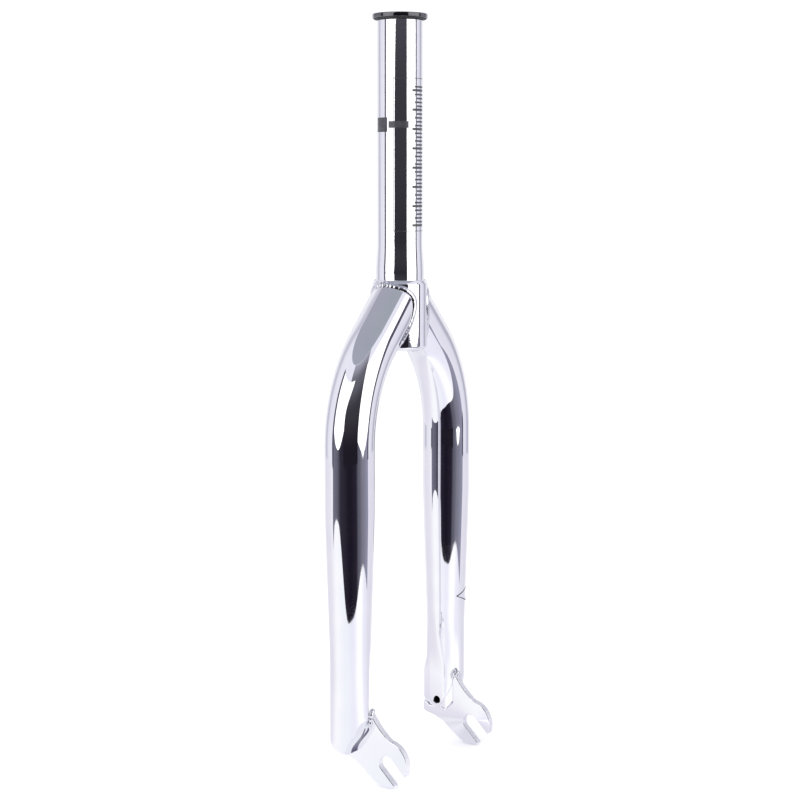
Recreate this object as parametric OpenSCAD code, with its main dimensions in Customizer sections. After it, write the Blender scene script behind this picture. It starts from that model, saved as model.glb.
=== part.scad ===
// Rigid bicycle fork: one-piece steerer, two bent and tapered legs, slotted
// dropouts and a screw-in preload cap. Millimetres.
// Z runs up the steerer's axis, the origin is on that axis at the shoulder the
// crown race rests on, -Y is forward and +X is the rider's left.

/* [Steerer] */
// Outer diameter of the steerer tube
steerer_d = 28.6; // [22:0.1:38]
// Height of the steerer above the crown shoulder
steerer_h = 163; // [80:1:250]
// Wall of the steerer tube
steerer_wall = 2.3; // [1.2:0.1:3]
// Step from the steerer's surface out to the crown race seat
race_seat_step = 0.8; // [0.4:0.05:2]
// Height of the crown race seat
race_seat_h = 5; // [3:0.5:8]
// Height at which the seat has tapered into the steerer
seat_taper_h = 24; // [12:1:60]
// Width of the shoulder that the crown race rests on, out to the base's surface
shoulder_w = 2.2; // [1.4:0.1:6]
// Depth of the base below the crown shoulder
base_depth = 44; // [36:0.5:60]
// Chamfer around the top of the base
base_chamfer = 1.1; // [0.2:0.1:1.2]
// Rounding around the bottom of the base
base_round = 2.5; // [0.5:0.1:3]
// Wall of the base around the wide lower bore
base_wall = 3; // [2.5:0.1:4.5]

/* [Legs] */
// Distance of each straight leg's axis outside the flat face that the hub meets
leg_outset = 8.5; // [6:0.5:10]
// Outer diameter of the upper leg
leg_d = 31; // [26:0.1:34]
// Outer diameter of the leg at the dropout
leg_tip_d = 25.4; // [22:0.1:27]
// Wall of the leg
leg_wall = 1.3; // [0.8:0.1:2]
// Radius of the bend, along the leg's axis
bend_r = 87; // [70:1:110]
// Angle through which the leg bends
bend_angle = 46; // [38:1:52]
// Depth below the shoulder at which the bend ends and the leg runs straight
bend_depth = 101; // [92:1:110]
// Depth at which the taper starts
taper_depth = 141; // [120:1:180]
// Length of the taper
taper_length = 95; // [60:1:110]
// Rounding of the closed lower end
tip_round = 9.5; // [4:0.5:10]
// Distance that the flat inner face reaches behind the leg's axis
face_back = 12; // [8:0.5:12.5]
// Diameter of the vent hole in the leg's inner face
vent_d = 5; // [3:0.5:7]
// Height of the vent hole above the leg's lower end
vent_height = 7.5; // [6:0.5:14]
// Distance of the vent hole behind the leg's axis
vent_back = 2; // [0:0.5:4]

/* [Dropouts] */
// Width between the two dropouts, where the hub goes
hub_width = 100; // [90:1:110]
// Thickness of each dropout plate
plate_t = 4.8; // [3:0.1:7]
// Distance of the wheel's axle in front of the steerer's axis
axle_forward = 24; // [22:0.5:32]
// Distance of the wheel's axle below the crown shoulder
axle_depth = 298; // [280:0.5:340]
// Width of the axle slot
slot_w = 10; // [9:0.1:14]
// Angle of the axle slot below level
slot_angle = 45; // [20:1:80]
// Radius of the dropout around the axle
lug_r = 15; // [12:0.5:18]
// Height of the leg's lower end above the axle
tip_above_axle = 4; // [2:0.5:8]
// Height of the plate's top corner above the axle
neck_rise = 30; // [26:0.5:40]

/* [Preload cap] */
// Distance that the cap's flange reaches out beyond the steerer
cap_overhang = 3.1; // [1:0.1:6]
// Thickness of the cap's flange
cap_t = 2.9; // [2:0.1:6]
// Thickness of the sealing ring under the flange
ring_t = 0.6; // [0.4:0.1:2]
// Length of the cap's threaded plug, below its flange
plug_length = 18; // [10:0.5:30]
// Width across the flats of the cap's hexagonal socket
socket_af = 12; // [8:0.5:14]
// Depth of the socket
socket_depth = 7; // [4:0.5:9]
// Diameter of the hole through the cap
cap_bore_d = 10; // [6:0.5:12]

/* [Welds] */
// Width of the weld bead on each of the two surfaces that it joins
bead = 2; // [1:0.1:3]

/* [Fits] */
// Radial clearance of the cap's plug in the steerer
plug_gap = 0.05; // [0.02:0.01:0.1]
// Gap between the sealing ring and the faces above and below it
ring_gap = 0.05; // [0.02:0.01:0.2]

/* [Hidden] */
$fn = 96;

chrome = [0.82, 0.83, 0.86];
bright_weld = [0.7, 0.71, 0.74];
gloss_black = [0.03, 0.03, 0.035];
seal_black = [0.08, 0.08, 0.08];
over = 1;

steerer_r = steerer_d / 2;
steerer_bore_r = steerer_r - steerer_wall;
race_seat_r = steerer_r + race_seat_step;
base_r = race_seat_r + shoulder_w;
base_bore_r = base_r - base_wall;
base_bore_h = base_depth / 2;
edge = 0.5;

face_x = hub_width / 2;
leg_offset = face_x + leg_outset;
leg_r = leg_d / 2;
leg_tip_r = leg_tip_d / 2;
bend_x = leg_offset - bend_r;
arm_x = bend_x + bend_r * cos(bend_angle);
arm_z = bend_r * sin(bend_angle) - bend_depth;
arm_end_x = 3;
arm_length = (arm_x - arm_end_x) / sin(bend_angle);
arm_lap = 0.5;
arm_proud = 0.03;
taper_end_depth = taper_depth + taper_length;
tip_depth = axle_depth - tip_above_axle;

face_top_depth = axle_depth - neck_rise - 2;
face_ramp_h = 8;
plate_outer_x = face_x + plate_t;
neck_top_depth = axle_depth - neck_rise;
lug_bite = 0.3;
neck_foot = [axle_forward - 1, lug_r - lug_bite - axle_depth];
tail_foot = [leg_tip_r * 0.2, -tip_depth - lug_r * 0.4];
tail_lip = 1.5;
crotch = lug_r * 0.7;
slot_step = 0.02;

bead_gap = 0.25;
weld_rise = 4;
weld_inset = 0.3;
weld_top_depth = neck_top_depth - weld_rise;
weld_foot_depth = neck_top_depth + lug_r;

cap_r = steerer_r + cap_overhang;
ring_step = 0.9;
ring_r = cap_r - ring_step;
plug_r = steerer_bore_r - plug_gap;
ring_z = steerer_h + ring_gap;
cap_z = ring_z + ring_t + ring_gap;

// Puts a profile, drawn as forward against up, on the slab between two x values
module slab(from_x, to_x) {
    translate([to_x, 0, 0])
        rotate([90, 0, -90])
            linear_extrude(height = to_x - from_x)
                children();
}

// Turns a shape of the rider's left side into that of the right side
module on_right() {
    mirror([1, 0, 0])
        children();
}

module steerer_profile() {
    polygon([
        [0, -base_depth],
        [base_r - base_round, -base_depth],
        [base_r, -base_depth + base_round],
        [base_r, -2 * base_chamfer],
        [base_r - base_chamfer, 0],
        [race_seat_r, 0],
        [race_seat_r, race_seat_h],
        [steerer_r, seat_taper_h],
        [steerer_r, steerer_h - edge],
        [steerer_r - edge, steerer_h],
        [0, steerer_h]
    ]);
    translate([base_r - base_round, -base_depth + base_round])
        circle(r = base_round);
}

module steerer_tube() {
    color(chrome)
        difference() {
            rotate_extrude()
                steerer_profile();
            translate([0, 0, -base_depth - over])
                cylinder(r = steerer_bore_r, h = base_depth + steerer_h + 2 * over);
            translate([0, 0, -base_depth - over])
                cylinder(r = base_bore_r, h = base_bore_h + over);
            translate([0, 0, base_bore_h - base_depth])
                cylinder(
                    r1 = base_bore_r,
                    r2 = steerer_bore_r,
                    h = base_bore_r - steerer_bore_r
                );
        }
}

// The bend and the straight arm that runs from it into the crown
module upper_bar(r) {
    translate([bend_x, 0, -bend_depth])
        rotate([90, 0, 0])
            rotate_extrude(angle = bend_angle)
                translate([bend_r, 0])
                    circle(r = r);
    translate([arm_x, 0, arm_z])
        rotate([0, -bend_angle, 0])
            translate([0, 0, -arm_lap])
                cylinder(r = r + arm_proud, h = arm_length + arm_lap);
}

// Profile of the closed, rounded lower end, drawn as radius against height
module tip_profile(r, corner, h) {
    translate([0, corner])
        square([r, h - corner]);
    square([r - corner, h]);
    intersection() {
        translate([r - corner, corner])
            circle(r = corner);
        square([r, h]);
    }
}

// The straight, tapered part of the leg and its closed end
module lower_bar(inset) {
    translate([leg_offset, 0, -taper_depth])
        cylinder(r = leg_r - inset, h = taper_depth - bend_depth);
    translate([leg_offset, 0, -taper_end_depth])
        cylinder(r1 = leg_tip_r - inset, r2 = leg_r - inset, h = taper_length);
    translate([leg_offset, 0, inset - tip_depth])
        rotate_extrude()
            tip_profile(
                leg_tip_r - inset,
                tip_round - inset,
                tip_depth - taper_end_depth - inset
            );
}

// The squared rear of the flat inner face
module face_flare() {
    slab(face_x - over, leg_offset)
        polygon([
            [0, -tip_depth],
            [-face_back, -tip_depth],
            [-face_back, -face_top_depth],
            [0, face_ramp_h - face_top_depth]
        ]);
}

// Everything on the wheel's side of the flat inner face
module face_cut(inset) {
    rotate([90, 0, 0])
        linear_extrude(height = 4 * leg_r, center = true)
            polygon([
                [0, -tip_depth - over],
                [face_x + inset, -tip_depth - over],
                [face_x + inset, -face_top_depth],
                [leg_offset - leg_tip_r + inset, face_ramp_h - face_top_depth],
                [0, face_ramp_h - face_top_depth]
            ]);
}

// The lower front corner of the leg, cut away around the plate
module front_cut(inset) {
    slab(0, 2 * leg_offset)
        translate([-inset, inset])
            polygon([
                [leg_tip_r + 2 * over, 1.45 * leg_tip_r - tip_depth],
                [leg_tip_r * 0.95, 1.3 * leg_tip_r - tip_depth],
                [leg_tip_r * 0.77, leg_tip_r - tip_depth],
                [leg_tip_r * 0.6, 0.7 * leg_tip_r - tip_depth],
                [leg_tip_r * 0.44, -tip_depth - over],
                [leg_tip_r + 2 * over, -tip_depth - over]
            ]);
}

// The lower leg before its inner face is flattened
module leg_tip_blank() {
    difference() {
        union() {
            lower_bar(0);
            face_flare();
        }
        front_cut(0);
    }
}

module leg() {
    difference() {
        union() {
            upper_bar(leg_r);
            difference() {
                leg_tip_blank();
                face_cut(0);
            }
        }
        upper_bar(leg_r - leg_wall);
        difference() {
            lower_bar(leg_wall);
            face_cut(leg_wall);
            front_cut(leg_wall);
        }
        translate([0, 0, -base_depth - leg_r])
            cylinder(r = base_r, h = base_depth + 2 * leg_r);
        translate([face_x - over, vent_back, vent_height - tip_depth])
            rotate([0, 90, 0])
                cylinder(d = vent_d, h = leg_wall + 2 * over);
    }
}

module left_leg() {
    color(chrome)
        leg();
}

module right_leg() {
    color(chrome)
        on_right()
            leg();
}

module plate_profile() {
    polygon([
        [leg_tip_r / 2, -neck_top_depth],
        [leg_tip_r, -neck_top_depth],
        neck_foot,
        [axle_forward, -axle_depth],
        [axle_forward - crotch, -axle_depth - crotch],
        tail_foot,
        [-face_back, -tip_depth - tail_lip],
        [-face_back, tip_round - tip_depth],
        [leg_tip_r / 2, tip_round - tip_depth]
    ]);
}

// The plate before the slot is cut and the leg takes its place
module plate_blank() {
    slab(face_x, plate_outer_x)
        plate_profile();
    translate([face_x, -axle_forward, -axle_depth])
        rotate([0, 90, 0])
            cylinder(r = lug_r, h = plate_t);
}

module dropout() {
    difference() {
        plate_blank();
        translate([face_x - over, -axle_forward, -axle_depth])
            rotate([0, 90, 0])
                cylinder(d = slot_w, h = plate_t + 2 * over);
        translate([face_x - over, -axle_forward, -axle_depth])
            rotate([slot_angle, 0, 0])
                translate([0, -2 * lug_r, slot_step - slot_w / 2])
                    cube([plate_t + 2 * over, 2 * lug_r, slot_w - 2 * slot_step]);
        leg_tip_blank();
    }
}

module left_dropout() {
    color(chrome)
        dropout();
}

module right_dropout() {
    color(chrome)
        on_right()
            dropout();
}

// The bead around the joint of one leg and the steerer's base
module crown_weld() {
    difference() {
        intersection() {
            upper_bar(leg_r + bead);
            translate([0, 0, -base_depth - leg_r])
                cylinder(r = base_r + bead, h = base_depth + leg_r - 2 * base_chamfer);
            translate([bead_gap, -2 * base_r, -base_depth - leg_r])
                cube([2 * base_r, 4 * base_r, base_depth + leg_r]);
        }
        upper_bar(leg_r);
        translate([0, 0, -base_depth - leg_r - over])
            cylinder(r = base_r, h = base_depth + leg_r + 2 * over);
    }
}

module left_crown_weld() {
    color(bright_weld)
        crown_weld();
}

module right_crown_weld() {
    color(bright_weld)
        on_right()
            crown_weld();
}

// The bead over the top and the outside of the joint of plate and leg
module dropout_weld() {
    difference() {
        translate([leg_offset, 0, -weld_foot_depth])
            cylinder(r = leg_tip_r + bead, h = weld_foot_depth - weld_top_depth);
        translate([leg_offset, 0, -weld_foot_depth - over])
            cylinder(r = leg_tip_r, h = weld_foot_depth - weld_top_depth + 2 * over);
        translate([plate_outer_x + bead, -2 * leg_r, -axle_depth])
            cube([2 * leg_r, 4 * leg_r, 2 * lug_r + neck_rise]);
        translate([face_x - 2 * leg_r + weld_inset, -2 * leg_r, -axle_depth])
            cube([2 * leg_r, 4 * leg_r, 2 * lug_r + neck_rise]);
        translate([face_x - leg_r, -leg_tip_r / 2, -axle_depth])
            cube([3 * leg_r, 2 * leg_r, 2 * lug_r + neck_rise]);
        plate_blank();
    }
}

module left_dropout_weld() {
    color(bright_weld)
        dropout_weld();
}

module right_dropout_weld() {
    color(bright_weld)
        on_right()
            dropout_weld();
}

module preload_ring() {
    color(seal_black)
        translate([0, 0, ring_z])
            difference() {
                cylinder(r = ring_r, h = ring_t);
                translate([0, 0, -over])
                    cylinder(r = steerer_bore_r, h = ring_t + 2 * over);
            }
}

module cap_profile() {
    polygon([
        [0, -plug_length],
        [plug_r - edge, -plug_length],
        [plug_r, edge - plug_length],
        [plug_r, 0],
        [cap_r - edge, 0],
        [cap_r, edge],
        [cap_r, cap_t - edge],
        [cap_r - edge, cap_t],
        [0, cap_t]
    ]);
}

module preload_cap() {
    color(gloss_black)
        translate([0, 0, cap_z])
            difference() {
                rotate_extrude()
                    cap_profile();
                translate([0, 0, -plug_length - over])
                    cylinder(d = cap_bore_d, h = plug_length + cap_t + 2 * over);
                translate([0, 0, cap_t - socket_depth])
                    cylinder(d = socket_af / cos(30), h = socket_depth + over, $fn = 6);
            }
}

steerer_tube();
left_leg();
right_leg();
left_dropout();
right_dropout();
left_crown_weld();
right_crown_weld();
left_dropout_weld();
right_dropout_weld();
preload_ring();
preload_cap();
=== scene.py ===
"""Studio scene of a rigid chromed bicycle fork.

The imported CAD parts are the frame. Each of them is rebuilt here as a finished
piece: the turned steerer with its crown base, two bent and tapered legs, the
slotted dropouts, rippled weld beads, the preload cap with its seal, and plain
printed marks. Lengths are in metres, Z runs up the steerer, -Y is forward and
+X is the rider's left.
"""

import logging
import math
from collections.abc import Callable, Iterable
from dataclasses import dataclass
from enum import Enum

import bmesh
import bpy
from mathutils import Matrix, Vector

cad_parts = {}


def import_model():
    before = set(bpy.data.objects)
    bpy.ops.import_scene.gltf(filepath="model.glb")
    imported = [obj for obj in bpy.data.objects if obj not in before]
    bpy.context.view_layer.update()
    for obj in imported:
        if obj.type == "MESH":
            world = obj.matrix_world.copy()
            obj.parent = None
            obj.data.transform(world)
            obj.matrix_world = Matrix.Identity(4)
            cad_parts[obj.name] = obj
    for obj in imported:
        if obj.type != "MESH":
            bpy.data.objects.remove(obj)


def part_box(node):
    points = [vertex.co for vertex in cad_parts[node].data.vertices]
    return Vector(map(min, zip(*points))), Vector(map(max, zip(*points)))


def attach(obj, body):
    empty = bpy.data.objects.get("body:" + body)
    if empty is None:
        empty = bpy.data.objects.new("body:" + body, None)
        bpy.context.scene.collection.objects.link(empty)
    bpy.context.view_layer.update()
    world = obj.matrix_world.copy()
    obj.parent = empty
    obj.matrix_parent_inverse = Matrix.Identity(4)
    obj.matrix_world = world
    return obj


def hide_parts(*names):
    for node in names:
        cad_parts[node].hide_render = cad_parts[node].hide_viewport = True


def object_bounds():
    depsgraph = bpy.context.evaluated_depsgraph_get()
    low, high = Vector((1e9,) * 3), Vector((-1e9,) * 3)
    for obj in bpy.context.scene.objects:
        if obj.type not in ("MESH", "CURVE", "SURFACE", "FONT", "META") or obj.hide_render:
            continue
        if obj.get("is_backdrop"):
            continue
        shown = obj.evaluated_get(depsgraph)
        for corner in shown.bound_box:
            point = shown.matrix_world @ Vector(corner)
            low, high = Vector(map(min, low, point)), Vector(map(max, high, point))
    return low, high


log = logging.getLogger("fork")

MM = 0.001
TOUCH = 0.01 * MM
ROUND = 96
HOLE_ROUND = 40
CEILING_ROUND = 64
SAME_SIZE = 1e-9
FULL_WEIGHT = 100
FORK = "fork"

Point = tuple[float, float]
Triple = tuple[float, float, float]
Colour = Triple


class Side(Enum):
    """The side of the fork, as the rider sees it. The value is the sign of x."""

    LEFT = 1
    RIGHT = -1

    @property
    def word(self) -> str:
        """The side's word in the names of nodes and pieces."""
        return self.name.lower()


class Glow(Enum):
    """What a studio card shows to the chrome, as stops of position and colour.

    A position is an angle from the camera's side in degrees, or for GAP a height in
    metres. LIGHT, GREY and CEILING are plain, GAP is the dark between the lights,
    GROUND lies past the table, AIR is the pale back, and TABLE is the table's top.
    """

    LIGHT = ((-180, (1.6, 1.6, 1.6)), (180, (1.6, 1.6, 1.6)))
    GREY = ((-180, (0.1, 0.09, 0.13)), (180, (0.1, 0.09, 0.13)))
    CEILING = ((-180, (0.40, 0.40, 0.48)), (180, (0.36, 0.40, 0.45)))
    GAP = ((-0.3, (0.015, 0.012, 0.02)), (0.3, (0.045, 0.042, 0.052)), (0.85, (0.13, 0.13, 0.16)),
           (1.5, (0.38, 0.38, 0.46)))
    GROUND = ((-98, (0.3, 0.3, 0.38)), (-80, (0.2, 0.2, 0.27)), (-62, (0.14, 0.14, 0.19)),
              (-38, (0.03, 0.025, 0.04)), (0, (0.012, 0.009, 0.018)), (26, (0.02, 0.016, 0.028)),
              (40, (0.12, 0.12, 0.16)), (62, (0.22, 0.22, 0.28)), (86, (0.3, 0.3, 0.4)))
    AIR = ((-180, (0.3, 0.3, 0.38)), (-166, (0.84, 0.84, 0.93)), (-152, (0.95, 0.95, 1.0)),
           (-128, (0.58, 0.58, 0.68)), (-108, (0.86, 0.86, 0.95)), (-92, (0.88, 0.88, 0.97)),
           (92, (0.88, 0.88, 0.97)), (112, (0.8, 0.8, 0.9)),
           (130, (0.46, 0.46, 0.56)), (150, (0.97, 0.97, 1.0)),
           (166, (0.84, 0.84, 0.93)), (180, (0.3, 0.3, 0.38)))
    TABLE = ((-180, (0.84, 0.84, 0.91)), (-152, (0.92, 0.92, 0.98)), (-128, (0.82, 0.81, 0.89)),
             (-106, (0.86, 0.84, 0.92)), (-62, (1.05, 1.05, 1.08)),
             (-22, (0.97, 0.99, 1.04)), (8, (0.93, 0.93, 1.03)), (44, (1.18, 1.18, 1.18)),
             (72, (0.92, 0.91, 1.02)), (108, (0.82, 0.8, 0.89)), (130, (0.78, 0.77, 0.86)),
             (152, (0.92, 0.92, 0.98)), (180, (0.84, 0.84, 0.91)))


# ---------------------------------------------------------------- bench work


def deselect() -> None:
    """Leaves edit mode and deselects every object."""
    if bpy.context.object and bpy.context.object.mode != "OBJECT":
        bpy.ops.object.mode_set(mode="OBJECT")
    bpy.ops.object.select_all(action="DESELECT")


def take(piece: bpy.types.Object) -> None:
    """Makes a piece the only selected and the active one.

    Args:
        piece: The piece.
    """
    deselect()
    piece.select_set(True)
    bpy.context.view_layer.objects.active = piece


def settle(name: str) -> bpy.types.Object:
    """Names the new primitive and moves its place into its mesh.

    Args:
        name: The piece's name.

    Returns:
        The piece, with its origin at the frame's origin.
    """
    piece = bpy.context.active_object
    piece.name = name
    piece.data.name = name
    bpy.ops.object.transform_apply(location=True, rotation=True, scale=True)
    return piece


def edit_edges() -> None:
    """Enters edit mode with every edge selected."""
    bpy.ops.object.mode_set(mode="EDIT")
    bpy.ops.mesh.select_mode(type="EDGE")
    bpy.ops.mesh.select_all(action="SELECT")


def face_outwards() -> None:
    """Turns every face outwards and leaves edit mode."""
    bpy.ops.mesh.select_all(action="SELECT")
    bpy.ops.mesh.normals_make_consistent(inside=False)
    bpy.ops.object.mode_set(mode="OBJECT")


def pick_edges(piece: bpy.types.Object, wanted: Callable[[Vector], bool]) -> None:
    """Selects, in edit mode, the edges whose both ends are wanted.

    Args:
        piece: The piece in edit mode.
        wanted: Says whether a vertex's place is wanted.
    """
    bpy.ops.mesh.select_mode(type="EDGE")
    bpy.ops.mesh.select_all(action="DESELECT")
    mesh = bmesh.from_edit_mesh(piece.data)
    for edge in mesh.edges:
        if all(wanted(vertex.co) for vertex in edge.verts):
            edge.select_set(True)
    bmesh.update_edit_mesh(piece.data)


def slab(name: str, corners: list[Triple], push: Triple, triangles: bool = False) -> bpy.types.Object:
    """Draws a flat outline and extrudes it.

    Args:
        name: The piece's name.
        corners: The outline's corners.
        push: How far the outline is extruded.
        triangles: Whether the faces are split into triangles.

    Returns:
        The closed piece.
    """
    deselect()
    bpy.ops.mesh.primitive_circle_add(vertices=len(corners), radius=1, fill_type="NGON")
    piece = settle(name)
    for vertex, corner in zip(piece.data.vertices, corners, strict=True):
        vertex.co = corner
    bpy.ops.object.mode_set(mode="EDIT")
    bpy.ops.mesh.select_all(action="SELECT")
    bpy.ops.mesh.extrude_region_move(TRANSFORM_OT_translate={"value": push})
    if triangles:
        bpy.ops.mesh.select_all(action="SELECT")
        bpy.ops.mesh.quads_convert_to_tris()
    face_outwards()
    return piece


def grow_rings(rings: Iterable[tuple[Vector, float]], start: tuple[Vector, float]) -> None:
    """Extrudes the selected loop from ring to ring.

    Args:
        rings: The centre and radius of each ring to come.
        start: The centre and radius of the selected loop.
    """
    centre, radius = start
    for next_centre, next_radius in rings:
        step = next_centre - centre
        bpy.ops.mesh.extrude_region_move(TRANSFORM_OT_translate={"value": tuple(step)})
        share = next_radius / radius
        if abs(share - 1) > SAME_SIZE:
            bpy.ops.transform.resize(value=(share, share, 1), center_override=tuple(next_centre))
        centre, radius = next_centre, next_radius


def arc(centre: Point, radius: float, start: float, end: float, steps: int) -> list[Point]:
    """Points on an arc.

    Args:
        centre: The arc's centre.
        radius: Its radius.
        start: The angle of the first point, in degrees.
        end: The angle of the last point, in degrees.
        steps: The number of chords.

    Returns:
        steps + 1 points.
    """
    angles = (math.radians(start + (end - start) * k / steps) for k in range(steps + 1))
    return [(centre[0] + radius * math.cos(a), centre[1] + radius * math.sin(a)) for a in angles]


def turned(name: str, profile: list[Point]) -> bpy.types.Object:
    """Turns a closed profile about the Z axis, ring by ring.

    Args:
        name: The piece's name.
        profile: The profile's radius and height at each ring, in order.

    Returns:
        A closed piece with its normals outwards.
    """
    deselect()
    first_r, first_z = profile[0]
    bpy.ops.mesh.primitive_circle_add(vertices=ROUND, radius=first_r, location=(0, 0, first_z))
    piece = settle(name)
    edit_edges()
    rings = [(Vector((0, 0, z)), r) for r, z in profile[1:]]
    grow_rings(rings, (Vector((0, 0, first_z)), first_r))
    bpy.ops.mesh.select_all(action="DESELECT")
    bpy.ops.mesh.select_non_manifold()
    bpy.ops.mesh.bridge_edge_loops()
    face_outwards()
    return piece


def soften(piece: bpy.types.Object, width: float, above: float, segments: int = 3) -> None:
    """Rounds a piece's sharp edges with a bevel that is applied.

    Args:
        piece: The piece.
        width: The bevel's width.
        above: The least angle of an edge that is rounded, in degrees.
        segments: The bevel's segments.
    """
    take(piece)
    bevel = piece.modifiers.new("edge", "BEVEL")
    bevel.width = width
    bevel.segments = segments
    bevel.limit_method = "ANGLE"
    bevel.angle_limit = math.radians(above)
    bevel.use_clamp_overlap = True
    bpy.ops.object.modifier_apply(modifier=bevel.name)


def smooth(piece: bpy.types.Object, angle: float = 35.0) -> None:
    """Shades a piece smooth, but for edges sharper than an angle in degrees."""
    take(piece)
    bpy.ops.object.shade_smooth_by_angle(angle=math.radians(angle))


def flatten_shading(piece: bpy.types.Object) -> None:
    """Lets a piece's large flat faces lead its shading, as on a ground plate.

    Args:
        piece: The piece, shaded smooth already.
    """
    take(piece)
    lead = piece.modifiers.new("shading", "WEIGHTED_NORMAL")
    lead.keep_sharp = True
    lead.weight = FULL_WEIGHT
    bpy.ops.object.modifier_apply(modifier=lead.name)


def carve(piece: bpy.types.Object, cutter: bpy.types.Object) -> None:
    """Takes the cutter's shape out of a piece and removes the cutter.

    Args:
        piece: The piece, whose cut faces take the cutter's finish.
        cutter: The closed shape to take out of it.
    """
    take(piece)
    cut = piece.modifiers.new("cut", "BOOLEAN")
    cut.operation = "DIFFERENCE"
    cut.solver = "EXACT"
    cut.material_mode = "TRANSFER"
    cut.object = cutter
    bpy.ops.object.modifier_apply(modifier=cut.name)
    bpy.data.objects.remove(cutter)


def mirrored(piece: bpy.types.Object) -> None:
    """Turns a piece of the left side into that of the right, normals outwards.

    Args:
        piece: The piece, made for the left side.
    """
    take(piece)
    bpy.ops.object.mode_set(mode="EDIT")
    bpy.ops.mesh.select_all(action="SELECT")
    bpy.ops.transform.resize(value=(-1, 1, 1), center_override=(0, 0, 0))
    bpy.ops.mesh.flip_normals()
    bpy.ops.object.mode_set(mode="OBJECT")


def close_smooth_min(a: float, b: float, blend: float) -> float:
    """The smaller of two numbers, rounded over where they are within blend."""
    near = max(blend - abs(a - b), 0.0) / blend
    return min(a, b) - near * near * blend / 4


def ease(value: float, low: float, high: float) -> float:
    """0 at low, 1 at high and a smooth step between them."""
    t = min(max((value - low) / (high - low), 0.0), 1.0)
    return t * t * (3 - 2 * t)


# ------------------------------------------------------------------ finishes

NOISE_DETAIL = 4
COAT_ROUGHNESS = 0.04
CLOUD_SPAN = (0.35, 0.65)
TINT_SPAN = (0.3, 0.62)
CHROME = (0.91, 0.91, 0.93)
CHROME_TINT = (0.88, 0.88, 0.915)


@dataclass(frozen=True)
class Finish:
    """A finish of the object, as a node material on Object coordinates.

    Attributes:
        name: The material's name.
        base: The base colour.
        metallic: How metallic it is.
        roughness: The least and greatest roughness.
        grain: The scale of the roughness pattern.
        grain_stretch: How the pattern is stretched along x, y and z.
        bump: The bump's height, in metres.
        bump_scale: The scale of the bump pattern.
        bump_stretch: How the bump pattern is stretched along x, y and z.
        tint: The colour that clouds over the base.
        coat: The weight of a clear coat.
    """

    name: str
    base: Colour
    metallic: float
    roughness: Point
    grain: float
    grain_stretch: Triple = (1, 1, 1)
    bump: float = 0.0
    bump_scale: float = 100.0
    bump_stretch: Triple = (1, 1, 1)
    tint: Colour = (0.5, 0.5, 0.5)
    coat: float = 0.0

    def _noise(self, nodes: bpy.types.Nodes, links: bpy.types.NodeLinks, scale: float,
               stretch: Triple) -> bpy.types.Node:
        """A noise on stretched Object coordinates.

        Args:
            nodes: The material's nodes.
            links: The material's links.
            scale: The noise's scale.
            stretch: The stretch of the coordinates.

        Returns:
            The noise node.
        """
        place = nodes.new("ShaderNodeTexCoord")
        fit = nodes.new("ShaderNodeMapping")
        fit.inputs["Scale"].default_value = stretch
        noise = nodes.new("ShaderNodeTexNoise")
        noise.inputs["Scale"].default_value = scale
        noise.inputs["Detail"].default_value = NOISE_DETAIL
        links.new(place.outputs["Object"], fit.inputs["Vector"])
        links.new(fit.outputs["Vector"], noise.inputs["Vector"])
        return noise

    def material(self) -> bpy.types.Material:
        """The finish as a material, made once.

        Returns:
            The material.
        """
        known = bpy.data.materials.get(self.name)
        if known:
            return known
        made = bpy.data.materials.new(self.name)
        made.use_nodes = True
        nodes, links = made.node_tree.nodes, made.node_tree.links
        shader = nodes["Principled BSDF"]
        shader.inputs["Metallic"].default_value = self.metallic
        shader.inputs["Coat Weight"].default_value = self.coat
        shader.inputs["Coat Roughness"].default_value = COAT_ROUGHNESS

        cloud = self._noise(nodes, links, self.grain, self.grain_stretch)
        spread = nodes.new("ShaderNodeMapRange")
        spread.inputs["From Min"].default_value, spread.inputs["From Max"].default_value = CLOUD_SPAN
        spread.inputs["To Min"].default_value, spread.inputs["To Max"].default_value = self.roughness
        links.new(cloud.outputs["Fac"], spread.inputs["Value"])
        links.new(spread.outputs["Result"], shader.inputs["Roughness"])

        ramp = nodes.new("ShaderNodeValToRGB")
        for stop, position, colour in zip(ramp.color_ramp.elements, TINT_SPAN, (self.tint, self.base)):
            stop.position = position
            stop.color = (*colour, 1)
        links.new(cloud.outputs["Fac"], ramp.inputs["Fac"])
        links.new(ramp.outputs["Color"], shader.inputs["Base Color"])

        if self.bump:
            relief = self._noise(nodes, links, self.bump_scale, self.bump_stretch)
            bump = nodes.new("ShaderNodeBump")
            bump.inputs["Strength"].default_value = 1
            bump.inputs["Distance"].default_value = self.bump
            links.new(relief.outputs["Fac"], bump.inputs["Height"])
            links.new(bump.outputs["Normal"], shader.inputs["Normal"])
        return made

    def dress(self, piece: bpy.types.Object) -> None:
        """Puts the finish on a piece, in its first slot.

        Args:
            piece: The piece.
        """
        if piece.data.materials:
            piece.data.materials[0] = self.material()
        else:
            piece.data.materials.append(self.material())

    def dress_part(self, piece: bpy.types.Object, wanted: Callable[[bpy.types.MeshPolygon], bool]) -> None:
        """Puts the finish on some of a piece's faces, in a slot of its own.

        Args:
            piece: The piece, dressed already.
            wanted: Says whether a face takes the finish.
        """
        piece.data.materials.append(self.material())
        slot = len(piece.data.materials) - 1
        for face in piece.data.polygons:
            if wanted(face):
                face.material_index = slot


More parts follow.
